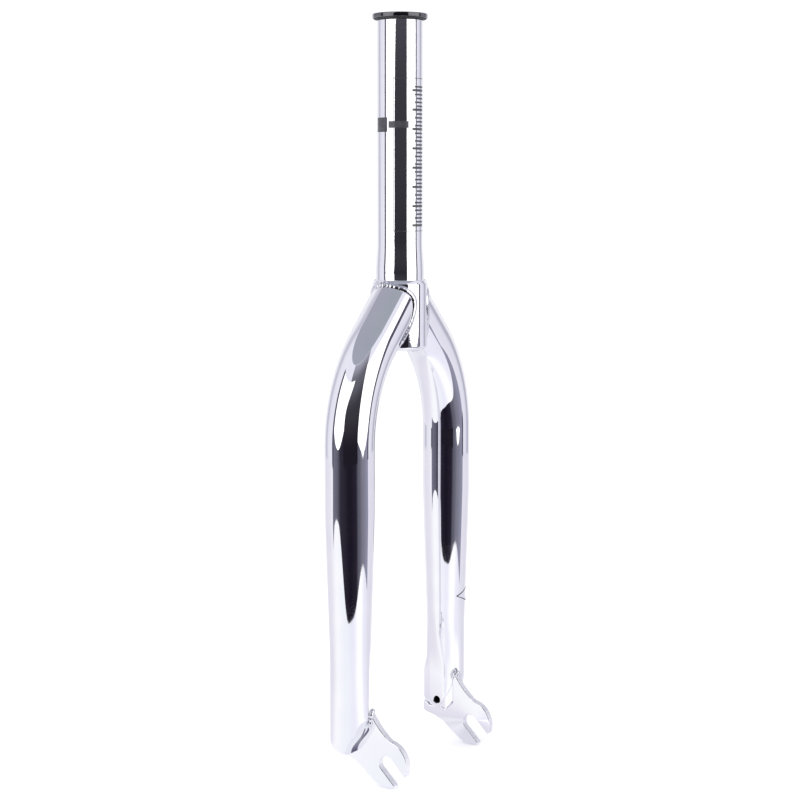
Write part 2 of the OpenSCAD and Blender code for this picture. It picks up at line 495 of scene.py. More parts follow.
PLATE = Finish(
    "mirror_chrome", base=CHROME, tint=CHROME_TINT, metallic=1, roughness=(0.015, 0.05), grain=60,
    bump=0.000012, bump_scale=45, bump_stretch=(1, 1, 0.5),
)
GROUND_PLATE = Finish(
    "ground_chrome", base=CHROME, tint=CHROME_TINT, metallic=1, roughness=(0.015, 0.06), grain=40,
    grain_stretch=(1, 1, 8), bump=0.000024, bump_scale=240, bump_stretch=(1, 1, 2),
)
BEAD_PLATE = Finish(
    "weld_chrome", base=(0.84, 0.84, 0.87), tint=(0.7, 0.7, 0.75), metallic=1,
    roughness=(0.04, 0.16), grain=300, bump=0.00022, bump_scale=320,
)
CUT_EDGE = Finish(
    "cut_edge_chrome", base=(0.95, 0.95, 0.97), tint=(0.86, 0.86, 0.9), metallic=1,
    roughness=(0.45, 0.6), grain=260, grain_stretch=(1, 1, 3), bump=0.00001, bump_scale=500,
)
# Painted shade: a dark chrome for the leg's front cut, standing in for the shade in the crevice beside the
# plate.
CREVICE_SHADE = Finish(
    "painted_crevice_shade", base=(0.13, 0.12, 0.2), tint=(0.06, 0.055, 0.1), metallic=1,
    roughness=(0.14, 0.3), grain=200, bump=0.00002, bump_scale=500,
)
# Painted shade: near-black, matt, for the shade inside the vent hole.
BORE_SHADE = Finish(
    "painted_bore_shade", base=(0.012, 0.011, 0.012), tint=(0.007, 0.006, 0.006), metallic=0,
    roughness=(0.5, 0.7), grain=200,
)
CAP_BLACK = Finish(
    "gloss_black_anodised", base=(0.12, 0.118, 0.13), tint=(0.06, 0.06, 0.068), metallic=1,
    roughness=(0.08, 0.16), grain=120, grain_stretch=(1, 1, 4), bump=0.000004, bump_scale=300,
    bump_stretch=(1, 1, 6), coat=0.8,
)
SEAL_BLACK = Finish(
    "seal_rubber", base=(0.03, 0.03, 0.032), tint=(0.045, 0.045, 0.048), metallic=0,
    roughness=(0.45, 0.65), grain=250, bump=0.00002, bump_scale=900,
)
PRINT_BLACK = Finish(
    "print_film", base=(0.03, 0.03, 0.036), tint=(0.055, 0.055, 0.065), metallic=0,
    roughness=(0.25, 0.45), grain=350, bump=0.000004, bump_scale=1200, coat=0.3,
)
PALE_FLOOR = Finish(
    "pale_floor", base=(0.93, 0.93, 0.95), tint=(0.91, 0.91, 0.94), metallic=0,
    roughness=(0.7, 0.85), grain=6,
)


def fit(piece: bpy.types.Object, body: str, slot: str, *nodes: str) -> None:
    """Puts a finished piece on its body, in place of its CAD nodes, and logs it.

    Args:
        piece: The finished piece.
        body: The CAD body that it rides on.
        slot: The record's material slot; not used.
        nodes: The CAD nodes that it stands for.
    """
    deselect()
    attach(piece, body)
    if nodes:
        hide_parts(*nodes)
    log.info("%s: %d faces on %s, for %s", piece.name, len(piece.data.polygons), body, nodes or "itself")


# ------------------------------------------------------------- the steerer


@dataclass
class Steerer:
    """The steerer with its race seat and the base that the legs are welded to."""

    wall: float = 2.3 * MM
    base_wall: float = 3 * MM
    base_round: float = 2.5 * MM
    shoulder_drop: float = 2.2 * MM
    shoulder_cut: float = 1.1 * MM
    shoulder_w: float = 2.2 * MM
    seat_step: float = 0.8 * MM
    seat_h: float = 5 * MM
    taper_h: float = 24 * MM
    edge: float = 0.25 * MM
    lip: float = 0.5 * MM
    steps: int = 8

    def __post_init__(self) -> None:
        """Takes the outer sizes from the CAD node."""
        low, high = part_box("steerer_tube")
        self.base_r = high.x
        self.foot = low.z
        self.top = high.z
        self.seat_r = self.base_r - self.shoulder_w
        self.tube_r = self.seat_r - self.seat_step
        self.bore_r = self.tube_r - self.wall

    def profile(self) -> list[Point]:
        """The closed profile, from the foot up the outside and down the bore.

        Returns:
            Radius and height of each ring.
        """
        base_bore = self.base_r - self.base_wall
        step_z = self.foot / 2
        flare = [
            (self.tube_r + self.seat_step * (1 - ease(k, 0, self.steps)),
             self.seat_h + (self.taper_h - self.seat_h) * k / self.steps)
            for k in range(self.steps + 1)
        ]
        round_foot = arc(
            (self.base_r - self.base_round, self.foot + self.base_round), self.base_round,
            start=-90, end=0, steps=self.steps,
        )
        return [
            *round_foot,
            (self.base_r, -self.shoulder_drop),
            (self.base_r - self.shoulder_cut, 0),
            (self.seat_r, 0),
            *flare,
            (self.tube_r, self.top - self.lip),
            (self.tube_r - self.lip, self.top),
            (self.bore_r, self.top),
            (self.bore_r, step_z + base_bore - self.bore_r),
            (base_bore, step_z),
            (base_bore, self.foot),
        ]

    def build(self) -> None:
        """Makes the steerer and dresses it."""
        piece = turned("steerer", self.profile())
        soften(piece, self.edge, above=25)
        smooth(piece)
        GROUND_PLATE.dress(piece)
        fit(piece, FORK, "chrome", "steerer_tube")


# ---------------------------------------------------------------- the legs


@dataclass
class LegPath:
    """The line of the left leg: straight, then bent, then straight into the crown."""

    base_r: float
    outer_x: float
    foot: float
    upper_r: float = 15.5 * MM
    tip_r: float = 12.7 * MM
    bend_r: float = 87 * MM
    bend_angle: float = 46.0
    bend_z: float = -101 * MM
    taper_top: float = -141 * MM
    taper_foot: float = -236 * MM
    taper_ease: float = 0.25

    def __post_init__(self) -> None:
        """Works out the axis of the straight leg and the start of the arm."""
        self.axis_x = self.outer_x - self.upper_r
        self.bend_x = self.axis_x - self.bend_r
        turn = math.radians(self.bend_angle)
        self.along = Vector((-math.sin(turn), 0, math.cos(turn)))
        self.across = Vector((math.cos(turn), 0, math.sin(turn)))
        centre = Vector((self.bend_x, 0, self.bend_z))
        self.arm_start = centre + self.across * self.bend_r

    def radius(self, z: float) -> float:
        """The straight leg's radius, with its taper eased in and out.

        Args:
            z: The height.

        Returns:
            The radius there.
        """
        share = min(max((z - self.taper_foot) / (self.taper_top - self.taper_foot), 0), 1)
        eased = (1 - self.taper_ease) * share + self.taper_ease * ease(share, 0, 1)
        return self.tip_r + (self.upper_r - self.tip_r) * eased

    def crown_joint(self, turn: float) -> tuple[Vector, Vector]:
        """The joint of the arm and the base, at an angle round the arm.

        Args:
            turn: The angle round the arm, 0 at its upper side, in radians.

        Returns:
            The point, and the direction out of the corner between both surfaces.
        """
        out = self.across * math.cos(turn) + Vector((0, 1, 0)) * math.sin(turn)
        y = self.upper_r * math.sin(turn)
        x = math.sqrt(self.base_r**2 - y**2)
        reach = (self.arm_start.x + self.upper_r * out.x - x) / -self.along.x
        point = self.arm_start + self.along * reach + out * self.upper_r
        return point, (out + Vector((x, y, 0)) / self.base_r).normalized()


@dataclass
class Leg:
    """One leg, with its lower end pressed flat on the wheel's side and rounded off.

    The front of the lower end makes way for the plate: cut_foot is how far forward
    it reaches at the foot, in millimetres, and each of cut_rises adds a reach
    between two heights above the foot. A section's face counts only in directions
    that point at it by more than hardly or clearly.
    """

    side: Side
    path: LegPath
    plate: "Dropout"
    tip_round: float = 9.5 * MM
    press_top: float = -222 * MM
    press_full: float = -268 * MM
    flare_top: float = -256 * MM
    press_inset: float = 0.03 * MM
    core_r: float = 0.1 * MM
    core_share: float = 0.4
    hardly: float = 0.02
    clearly: float = 0.05
    corner_blend: float = 3.2 * MM
    rear_blend: float = 1.6 * MM
    front_blend: float = 3 * MM
    slant_blend: float = 1.2 * MM
    cut_blend: float = 5 * MM
    cut_foot: float = 0.4
    cut_rises: tuple[Triple, ...] = ((9.4, 0.5, 17), (9, 14, 30))
    seam_top: float = 18 * MM
    seam_near: float = 0.5 * MM
    ring_gap: float = 1 * MM
    foot_rings: int = 33
    approach: float = 14 * MM
    approach_gap: float = 5 * MM
    approach_rings: int = 3
    taper_rings: int = 16
    shank_rings: int = 5
    bend_rings: int = 40
    arm_rings: int = 4
    arm_stop: float = 4 * MM
    tip_rings: int = 12
    mitre_inset: float = 0.8 * MM
    mitre_h: float = 0.4
    vent_r: float = 2.5 * MM
    vent_back: float = 2 * MM
    vent_rise: float = 7.5 * MM
    vent_depth: float = 12 * MM
    sink_wide: float = 0.5 * MM
    sink_narrow: float = 0.1 * MM
    sink_depth: float = 0.6 * MM
    sink_shift: float = 0.15 * MM

    def __post_init__(self) -> None:
        """Takes the pressed face and the slant in front of it from the plate's groove."""
        self.face_x = self.plate.inner
        self.face = self.path.axis_x - self.face_x - self.press_inset
        run = self.plate.groove_end_f - self.plate.groove_start_f
        length = math.hypot(run, self.plate.thickness)
        self.slant_in, self.slant_forward = run / length, self.plate.thickness / length
        self.slant = self.face * self.slant_in + self.plate.groove_start_f * self.slant_forward

    def _front_limit(self, z: float) -> float:
        """How far forward the leg reaches, where it makes way for the plate.

        Args:
            z: The height.

        Returns:
            The reach forward of the axis.
        """
        rise = (z - self.path.foot) / MM
        reach = self.cut_foot
        for share, low, high in self.cut_rises:
            reach += share * ease(rise, low, high)
        return reach * MM

    def _section(self, turn: float, radius: float, z: float) -> float:
        """The pressed section's radius.

        Args:
            turn: The angle round the leg's axis, 0 outwards and 90 degrees backwards.
            radius: The round section's radius there.
            z: The height.

        Returns:
            The radius of the pressed section in that direction.
        """
        pressed = ease(-z, -self.press_top, -self.press_full)
        flared = ease(-z, -self.flare_top, -self.press_full)
        inward, backward = -math.cos(turn), math.sin(turn)
        shaped = radius
        if inward > self.hardly and backward > self.hardly:
            corner = close_smooth_min(
                self.face / inward, self.path.tip_r / backward, self.corner_blend
            )
            grown = max(radius, radius * corner / self.path.tip_r)
            shaped = radius + (grown - radius) * flared
        if inward > self.clearly:
            blend = self.rear_blend if backward > 0 else self.front_blend
            flat = close_smooth_min(shaped, self.face / inward, blend)
            shaped += (flat - shaped) * pressed
        if inward > self.clearly and backward < 0:
            toward = inward * self.slant_in - backward * self.slant_forward
            slanted = close_smooth_min(shaped, self.slant / toward, self.slant_blend)
            shaped += (slanted - shaped) * pressed
        if backward < -self.clearly:
            shaped = close_smooth_min(shaped, self._front_limit(z) / -backward, self.cut_blend)
        return shaped

    def _press(self, piece: bpy.types.Object) -> None:
        """Presses the lower end's rings to its section.

        Args:
            piece: The round leg.
        """
        axis = self.path.axis_x
        for vertex in piece.data.vertices:
            x, y, z = vertex.co
            radius = math.hypot(x - axis, y)
            if z > self.press_top or radius < self.core_r:
                continue
            turn = math.atan2(y, x - axis)
            share = self._section(turn, radius, z) / radius
            vertex.co.x = axis + (x - axis) * share
            vertex.co.y = y * share

    def _tube(self, name: str) -> bpy.types.Object:
        """Grows the leg from the start of its rounded end up into the crown.

        Args:
            name: The piece's name.

        Returns:
            The leg as a closed shape, round all the way.
        """
        path = self.path
        low = path.foot + self.tip_round
        deselect()
        bpy.ops.mesh.primitive_circle_add(
            vertices=ROUND, radius=path.tip_r, location=(path.axis_x, 0, low)
        )
        piece = settle(name)
        edit_edges()
        taper, shank = path.taper_top - path.taper_foot, path.bend_z - path.taper_top
        approach = path.taper_foot - self.approach
        heights = [low + k * self.ring_gap for k in range(1, self.foot_rings + 1)]
        heights += [approach + k * self.approach_gap for k in range(self.approach_rings)]
        heights += [path.taper_foot + taper * k / self.taper_rings for k in range(self.taper_rings + 1)]
        heights += [path.taper_top + shank * k / self.shank_rings for k in range(1, self.shank_rings + 1)]
        rings = [(Vector((path.axis_x, 0, z)), path.radius(z)) for z in sorted(heights)]
        grow_rings(rings, (Vector((path.axis_x, 0, low)), path.tip_r))
        bpy.ops.mesh.spin(
            steps=self.bend_rings,
            angle=math.radians(path.bend_angle),
            center=(path.bend_x, 0, path.bend_z),
            axis=(0, 1, 0),
        )
        reach = path.arm_start.x / -path.along.x - self.arm_stop
        for _ in range(self.arm_rings):
            bpy.ops.mesh.extrude_region_move(
                TRANSFORM_OT_translate={"value": tuple(path.along * reach / self.arm_rings)}
            )
        bpy.ops.mesh.edge_face_add()
        pick_edges(piece, lambda co: abs(co.z - low) < TOUCH and co.x > path.bend_x)
        core = path.tip_r - self.tip_round
        ends = arc((core, low), self.tip_round, start=0, end=-90, steps=self.tip_rings)[1:]
        ends.append((core * self.core_share, path.foot))
        grow_rings(
            [(Vector((path.axis_x, 0, z)), r) for r, z in ends],
            (Vector((path.axis_x, 0, low)), path.tip_r),
        )
        bpy.ops.mesh.edge_face_add()
        face_outwards()
        return piece

    def _mitre(self, piece: bpy.types.Object) -> None:
        """Ends the arm inside the base's wall.

        Args:
            piece: The leg.
        """
        deselect()
        bpy.ops.mesh.primitive_cylinder_add(
            vertices=ROUND, radius=self.path.base_r - self.mitre_inset, depth=self.mitre_h
        )
        carve(piece, settle("mitre"))

    def _on_cut(self, face: bpy.types.MeshPolygon) -> bool:
        """Whether a face lies on the front cut, where the crevice beside the plate gets painted shade.

        Args:
            face: The face.

        Returns:
            True where it does.
        """
        place = face.center
        rise = place.z - self.path.foot
        limit = self._front_limit(place.z)
        near_plate = place.x < self.path.axis_x
        return rise < self.seam_top and near_plate and abs(-place.y - limit) < self.seam_near

    def _vent(self, piece: bpy.types.Object) -> None:
        """Drills the vent hole into the pressed face and countersinks it.

        Args:
            piece: The leg.
        """
        height = self.path.foot + self.vent_rise
        deselect()
        bpy.ops.mesh.primitive_cylinder_add(
            vertices=HOLE_ROUND,
            radius=self.vent_r,
            depth=2 * self.vent_depth,
            location=(self.face_x, self.vent_back, height),
            rotation=(0, math.pi / 2, 0),
        )
        drill = settle("vent")
        # The cutter's near-black finish passes to the hole's walls as painted shade.
        BORE_SHADE.dress(drill)
        carve(piece, drill)
        deselect()
        bpy.ops.mesh.primitive_cone_add(
            vertices=HOLE_ROUND,
            radius1=self.vent_r + self.sink_wide,
            radius2=self.vent_r - self.sink_narrow,
            depth=self.sink_depth,
            location=(self.face_x + self.sink_shift, self.vent_back, height),
            rotation=(0, math.pi / 2, 0),
        )
        carve(piece, settle("countersink"))

    def build(self) -> None:
        """Makes the leg and dresses it."""
        piece = self._tube(f"{self.side.word}_leg_tube")
        self._press(piece)
        PLATE.dress(piece)
        self._mitre(piece)
        self._vent(piece)
        # The front cut beside the plate takes a dark chrome, as painted shade.
        CREVICE_SHADE.dress_part(piece, self._on_cut)
        if self.side is Side.RIGHT:
            mirrored(piece)
        smooth(piece, angle=30)
        fit(piece, FORK, "chrome", f"{self.side.word}_leg")


# ------------------------------------------------------------ the dropouts


@dataclass
class Dropout:
    """One slotted plate. Its outline is drawn as forward against up.

    The neck and the tail are given from the axle, forward and up, in millimetres.
    """

    side: Side
    thickness: float = 4.8 * MM
    lug_r: float = 15 * MM
    slot_w: float = 10 * MM
    tip_corner: float = 1.3 * MM
    rim: float = 0.6 * MM
    groove_start: float = 19.7 * MM
    groove_end: float = 13.1 * MM
    groove_low: float = 5.5 * MM
    groove_high: float = 10.5 * MM
    groove_tail: float = 3 * MM
    groove_step: float = 2 * MM
    skin: float = 0.3 * MM
    neck_start: Point = (-11.6, 30.5)
    neck_pull: Point = (-4.2, 19.6)
    neck_turn: float = 80
    neck_steps: int = 12
    lug_turn: float = 78
    tail_turn: float = -135
    slot_turn: float = -45
    corner_share: float = 0.9
    corner_inset: float = 0.25
    rim_angle: float = 60
    rim_segments: int = 4
    edge_tilt: float = 0.75
    tail: tuple[Point, ...] = (
        (-15.5, -7.2), (-21.4, -2.4), (-28, 0.6), (-35, 2.3), (-36.4, 3.6), (-36.4, 9.5),
        (-35, 9.5), (-31.5, 7), (-25, 7), (-21.6, 10.5), (-21.6, 26),
    )

    def __post_init__(self) -> None:
        """Takes the plate's place from its CAD node."""
        low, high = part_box(f"{self.side.word}_dropout")
        self.inner = min(abs(low.x), abs(high.x))
        self.axle_f = -low.y - self.lug_r
        self.axle_z = low.z + self.lug_r
        self.tail_f = self.axle_f - self.lug_r
        self.groove_start_f = self.axle_f - self.groove_start
        self.groove_end_f = self.axle_f - self.groove_end

    def _lug(self) -> list[Point]:
        """The lug's round and its slot, from the neck round to the tail.

        Returns:
            The outline's points.
        """
        axle = (self.axle_f, self.axle_z)
        half = self.slot_w / 2
        gap = math.degrees(math.asin(half / self.lug_r))
        corner = math.degrees(self.tip_corner / self.lug_r)
        mouth = math.sqrt(self.lug_r**2 - half**2)
        root = self.tip_corner * self.corner_share
        inset_root = root * self.corner_inset
        turn = self.slot_turn
        upper = arc(axle, self.lug_r, self.lug_turn, turn + gap + corner, steps=26)
        lower = arc(axle, self.lug_r, turn - gap - corner, self.tail_turn, steps=16)
        slot = arc(axle, half, turn + 90, turn + 270, steps=20)

        def beside(sign: int, reach: float, inset: float) -> Point:
            """A point along the slot's edge.

            Args:
                sign: 1 on the slot's upper side, -1 on its lower side.
                reach: How far it lies from the axle.
                inset: How far it is drawn back from the edge.

            Returns:
                The point.
            """
            diagonal = math.sqrt(0.5)
            width = sign * (half + inset)
            return (
                axle[0] + diagonal * (reach + width),
                axle[1] + diagonal * (width - reach),
            )

        return [
            *upper,
            beside(1, mouth - inset_root, inset_root),
            beside(1, mouth - root, 0),
            beside(1, mouth / 2, 0),
            *slot,
            beside(-1, mouth / 2, 0),
            beside(-1, mouth - root, 0),
            beside(-1, mouth - inset_root, inset_root),
            *lower,
        ]

    def outline(self) -> list[Point]:
        """The plate's outline, from the neck's top round the lug and the tail.

        Returns:
            Forward and up of each point.
        """
        def at(place: Point) -> Point:
            """A place that is given from the axle in millimetres."""
            return self.axle_f + place[0] * MM, self.axle_z + place[1] * MM

        start, pull = at(self.neck_start), at(self.neck_pull)
        turn = math.radians(self.neck_turn)
        end = (self.axle_f + self.lug_r * math.cos(turn), self.axle_z + self.lug_r * math.sin(turn))
        neck = [
            tuple(
                (1 - t) ** 2 * start[i] + 2 * t * (1 - t) * pull[i] + t * t * end[i]
                for i in (0, 1)
            )
            for t in (k / self.neck_steps for k in range(self.neck_steps))
        ]
        return [*neck, *self._lug(), *map(at, self.tail)]

    def _groove(self) -> bpy.types.Object:
        """The slanted groove between the plate and the leg, on the wheel's side.

        Returns:
            The cutter, whose floor lies just under the slant of the leg.
        """
        skin = self.skin
        start, end = self.groove_start_f, self.groove_end_f
        behind = start - self.groove_tail
        shallow, deep = self.inner + 2 * skin, self.inner + self.thickness - skin
        low, high = self.axle_z + self.groove_low, self.axle_z + self.groove_high
        feet = [
            (self.inner - skin, -behind, low + self.groove_step),
            (shallow, -behind, low + self.groove_step),
            (shallow, -(start + skin), low),
            (deep, -(end - skin), high),
            (deep, -end, high),
            (self.inner - skin, -end, high),
            (self.inner - skin, -(start + skin), low),
        ]
        return slab("groove", feet, (0, 0, 2 * self.lug_r), triangles=True)

    def build(self) -> None:
        """Makes the plate and dresses it."""
        corners = [(self.inner, -forward, up) for forward, up in self.outline()]
        piece = slab(f"{self.side.word}_dropout_plate", corners, (self.thickness, 0, 0))
        soften(piece, self.rim, self.rim_angle, self.rim_segments)
        carve(piece, self._groove())
        if self.side is Side.RIGHT:
            mirrored(piece)
        PLATE.dress(piece)
        CUT_EDGE.dress_part(
            piece, lambda face: abs(face.normal.x) < self.edge_tilt and -face.center.y > self.tail_f
        )
        smooth(piece, angle=30)
        flatten_shading(piece)
        fit(piece, FORK, "chrome", f"{self.side.word}_dropout")


# --------------------------------------------------------------- the welds


@dataclass
class Bead:
    """A rippled weld bead along a line of points.

    Attributes:
        name: The piece's name.
        points: The line's points.
        outs: The direction out of the corner at each point.
        radius: The bead's radius.
        ripple: How much of the radius the ripples take.
        pitch: The length of a ripple.
        closed: Whether the line comes back to its start.
        rough: How rough the bead is at each point, from 0 to 1, or None for rough all along.
        facets: How many facets go round the bead.
        wander: How far, and over what length, the ripples stray from an even pitch.
        swells: The share, length and phase of each slow swell of the radius.
        fuller: How much fuller a rough stretch is.
        taper: The length of a closed-off end, in radii.
        tip: The least share of that length that is left at the very end.
    """

    name: str
    points: list[Vector]
    outs: list[Vector]
    radius: float
    ripple: float = 0.22
    pitch: float = 2.1 * MM
    closed: bool = False
    rough: list[float] | None = None
    facets: int = 14
    wander: Point = (0.9, 3.1 * MM)
    swells: tuple[Triple, ...] = ((0.1, 4.7 * MM, 0), (0.07, 1.3 * MM, 1))
    fuller: float = 0.35
    taper: float = 2.2
    tip: float = 0.0004

    def _radius(self, travel: float, length: float, rough: float) -> float:
        """The bead's radius at a place along its line.

        Args:
            travel: The way along the line to that place.
            length: The line's length.
            rough: How rough the bead is there.

        Returns:
            The radius.
        """
        stray, stretch = self.wander
        scale = abs(math.sin(math.pi * travel / self.pitch + stray * math.sin(travel / stretch)))
        swell = 0.0
        for share, stretch, phase in self.swells:
            swell += share * math.sin(travel / stretch + phase)
        fuller = self.fuller * rough if self.rough else 0
        ripple = swell - self.ripple + self.ripple * math.sqrt(scale)
        radius = self.radius * (1 + rough * ripple + fuller)
        if self.closed:
            return radius
        end = min(travel, length - travel) / (self.taper * self.radius)
        return radius * math.sqrt(min(max(end, self.tip), 1))

    def build(self) -> bpy.types.Object:
        """Makes the bead from a grid that is rolled round the line.

        Returns:
            The closed bead.
        """
        rings = len(self.points)
        deselect()
        bpy.ops.mesh.primitive_grid_add(
            x_subdivisions=rings - 1, y_subdivisions=self.facets, size=2
        )
        piece = settle(self.name)
        travel = [0.0]
        for a, b in zip(self.points, self.points[1:]):
            travel.append(travel[-1] + (b - a).length)
        for vertex in piece.data.vertices:
            i = round((vertex.co.x + 1) / 2 * (rings - 1))
            roll = math.pi * (vertex.co.y + 1)
            ahead = self.points[min(i + 1, rings - 1)]
            behind = self.points[max(i - 1, 0)]
            if self.closed and i in (0, rings - 1):
                ahead, behind = self.points[1], self.points[-2]
            line = (ahead - behind).normalized()
            out = (self.outs[i] - line * self.outs[i].dot(line)).normalized()
            across = line.cross(out)
            rough = self.rough[i] if self.rough else 1
            radius = self._radius(travel[i], travel[-1], rough)
            vertex.co = self.points[i] + (out * math.cos(roll) + across * math.sin(roll)) * radius
        bpy.ops.object.mode_set(mode="EDIT")
        bpy.ops.mesh.select_all(action="SELECT")
        bpy.ops.mesh.remove_doubles(threshold=2 * TOUCH)
        bpy.ops.mesh.select_all(action="DESELECT")
        bpy.ops.mesh.select_non_manifold()
        bpy.ops.mesh.edge_face_add()
        face_outwards()
        BEAD_PLATE.dress(piece)
        smooth(piece, angle=60)
        return piece


@dataclass
class Welds:
    """The weld beads of one side: round the crown joint and over the dropout's top.

    A stop of plate_line has the plate's face that it starts from, 0 for the wheel's
    side and 1 for the other, and how far outwards of it, behind the front and under
    the top of the CAD bead it lies, in millimetres.
    """

    side: Side
    path: LegPath
    face_x: float
    plate_t: float
    crown_bead: float = 2.5 * MM
    crown_rings: int = 320
    crown_calm: float = 0.05
    crown_focus: int = 6
    plate_bead: float = 1.5 * MM
    plate_steps: int = 14
    plate_out: Triple = (0.2, -1, 0.25)
    plate_line: tuple[tuple[int, float, float, float], ...] = (
        (0, 0.9, 4.4, 8.5), (0, 0.9, 3.6, 4.4), (0, 2.4, 2.2, 2.4),
        (1, -0.4, 1.9, 4.2), (1, 0.1, 2.1, 9), (1, 0.1, 2.6, 14),
    )
    sink: float = 1.0 * MM

    def _crown(self) -> bpy.types.Object:
        """The bead round the joint of the leg and the base, roughest above and below.

        Returns:
            The piece.
        """
        turns = [2 * math.pi * k / self.crown_rings for k in range(self.crown_rings + 1)]
        joints = [self.path.crown_joint(turn) for turn in turns]
        calm = self.crown_calm
        rough = [calm + (1 - calm) * abs(math.cos(turn)) ** self.crown_focus for turn in turns]
        points = [
            point - out * self.sink * (1 + share) for (point, out), share in zip(joints, rough, strict=True)
        ]
        outs = [out for _, out in joints]
        name = f"{self.side.word}_crown_bead"
        return Bead(
            name, points, outs, self.crown_bead, ripple=0.34, pitch=2.9 * MM, closed=True, rough=rough
        ).build()

    def _plate(self) -> bpy.types.Object:
        """The bead over the plate's top corner and down its outer seam.

        Returns:
            The piece.
        """
        low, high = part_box(f"{self.side.word}_dropout_weld")
        stops = [
            Vector((self.face_x + face * self.plate_t + out * MM, low.y + back * MM, high.z - down * MM))
            for face, out, back, down in self.plate_line
        ]
        points = []
        padded = [stops[0] * 2 - stops[1], *stops, stops[-1] * 2 - stops[-2]]
        for a, b, c, d in zip(padded, padded[1:], padded[2:], padded[3:]):
            for k in range(self.plate_steps):
                t = k / self.plate_steps
                points.append(
                    (b * 2 + (c - a) * t + (a * 2 - b * 5 + c * 4 - d) * t**2
                     + (b * 3 - a - c * 3 + d) * t**3) / 2
                )
        points.append(stops[-1])
        outs = [Vector(self.plate_out).normalized()] * len(points)
        name = f"{self.side.word}_dropout_bead"
        return Bead(name, points, outs, self.plate_bead, ripple=0.2, pitch=2.3 * MM).build()

    def build(self) -> None:
        """Makes both beads of the side."""
        for piece, node in ((self._crown(), "crown_weld"), (self._plate(), "dropout_weld")):
            if self.side is Side.RIGHT:
                mirrored(piece)
            fit(piece, FORK, "weld", f"{self.side.word}_{node}")


# ------------------------------------------------------- the preload cap


@dataclass
class PreloadCap:
    """The screw-in cap with its hexagonal socket, and the seal under its flange."""

    flange_t: float = 2.9 * MM
    corner: float = 0.5 * MM
    thread_pitch: float = 1.5 * MM
    thread_depth: float = 0.6 * MM
    plug_gap: float = 0.05 * MM
    socket_af: float = 12 * MM
    socket_depth: float = 7 * MM
    dish: float = 0.35 * MM
    through_r: float = 5 * MM
    ridge_start: float = 1 * MM
    ridge_w: float = 0.2 * MM
    ridge_run: float = 0.7
    run_out: float = 3 * MM
    neck_h: float = 1.2 * MM
    dish_outer: Point = (2.2 * MM, 2.6 * MM)
    dish_inner: Point = (7.4 * MM, 7.8 * MM)
    edge: float = 0.12 * MM
    edge_angle: float = 32

    def __post_init__(self) -> None:
        """Takes the cap's place and size from its CAD node."""
        low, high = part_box("preload_cap")
        self.flange_r = high.x
        self.foot = low.z
        self.top = high.z
        seal_low, seal_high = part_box("preload_ring")
        self.seal_foot, self.seal_top, self.seal_r = seal_low.z, seal_high.z, seal_high.x

    def _cap(self, plug_r: float) -> bpy.types.Object:
        """The cap itself, with the turns of its thread as ridges.

        Args:
            plug_r: The plug's outer radius.

        Returns:
            The piece.
        """
        under = self.top - self.flange_t
        core_r = plug_r - self.thread_depth
        ridge = []
        turns = int((under - self.foot - self.run_out) / self.thread_pitch)
        for k in range(turns):
            z = self.foot + self.ridge_start + k * self.thread_pitch
            ridge.append((plug_r, z))
            ridge.append((plug_r, z + self.ridge_w))
            ridge.append((core_r, z + self.ridge_run * self.thread_pitch))
        edge, corner = self.flange_r, self.corner
        profile = [
            (self.through_r, self.foot),
            (core_r, self.foot),
            *ridge,
            (core_r, under - self.neck_h),
            (core_r, under),
            *arc((edge - corner, under + corner), corner, start=-90, end=0, steps=5),
            *arc((edge - corner, self.top - corner), corner, start=0, end=90, steps=5),
            (edge - self.dish_outer[0], self.top),
            (edge - self.dish_outer[1], self.top - self.dish),
            (edge - self.dish_inner[0], self.top - self.dish),
            (edge - self.dish_inner[1], self.top),
            (self.through_r, self.top),
        ]
        return turned("preload_cap_screw", profile)

    def _socket(self, piece: bpy.types.Object) -> None:
        """Cuts the hexagonal socket into the cap.

        Args:
            piece: The cap.
        """
        deselect()
        bpy.ops.mesh.primitive_cylinder_add(
            vertices=6,
            radius=self.socket_af / 2 / math.cos(math.pi / 6),
            depth=2 * self.socket_depth,
            location=(0, 0, self.top),
        )
        carve(piece, settle("socket"))

    def _seal(self, bore_r: float) -> bpy.types.Object:
        """The flat sealing ring under the flange.

        Args:
            bore_r: The ring's inner radius.

        Returns:
            The piece.
        """
        height = self.seal_top - self.seal_foot
        middle = (self.seal_top + self.seal_foot) / 2
        outer = arc((self.seal_r - height / 2, middle), height / 2, -90, 90, 8)
        inner = arc((bore_r + height / 2, middle), height / 2, 90, 270, 8)
        return turned("preload_seal_ring", [*outer, *inner])

    def build(self, bore_r: float) -> None:
        """Makes the cap and its seal.

        Args:
            bore_r: The steerer's bore radius.
        """
        cap = self._cap(bore_r - self.plug_gap)
        self._socket(cap)
        soften(cap, self.edge, self.edge_angle, segments=2)
        CAP_BLACK.dress(cap)
        smooth(cap, self.edge_angle)
        fit(cap, "preload_bolt", "cap", "preload_cap")
        seal = self._seal(bore_r)
        SEAL_BLACK.dress(seal)
        smooth(seal, angle=50)
        fit(seal, "preload_seal", "seal", "preload_ring")


# ---------------------------------------------------------- printed marks


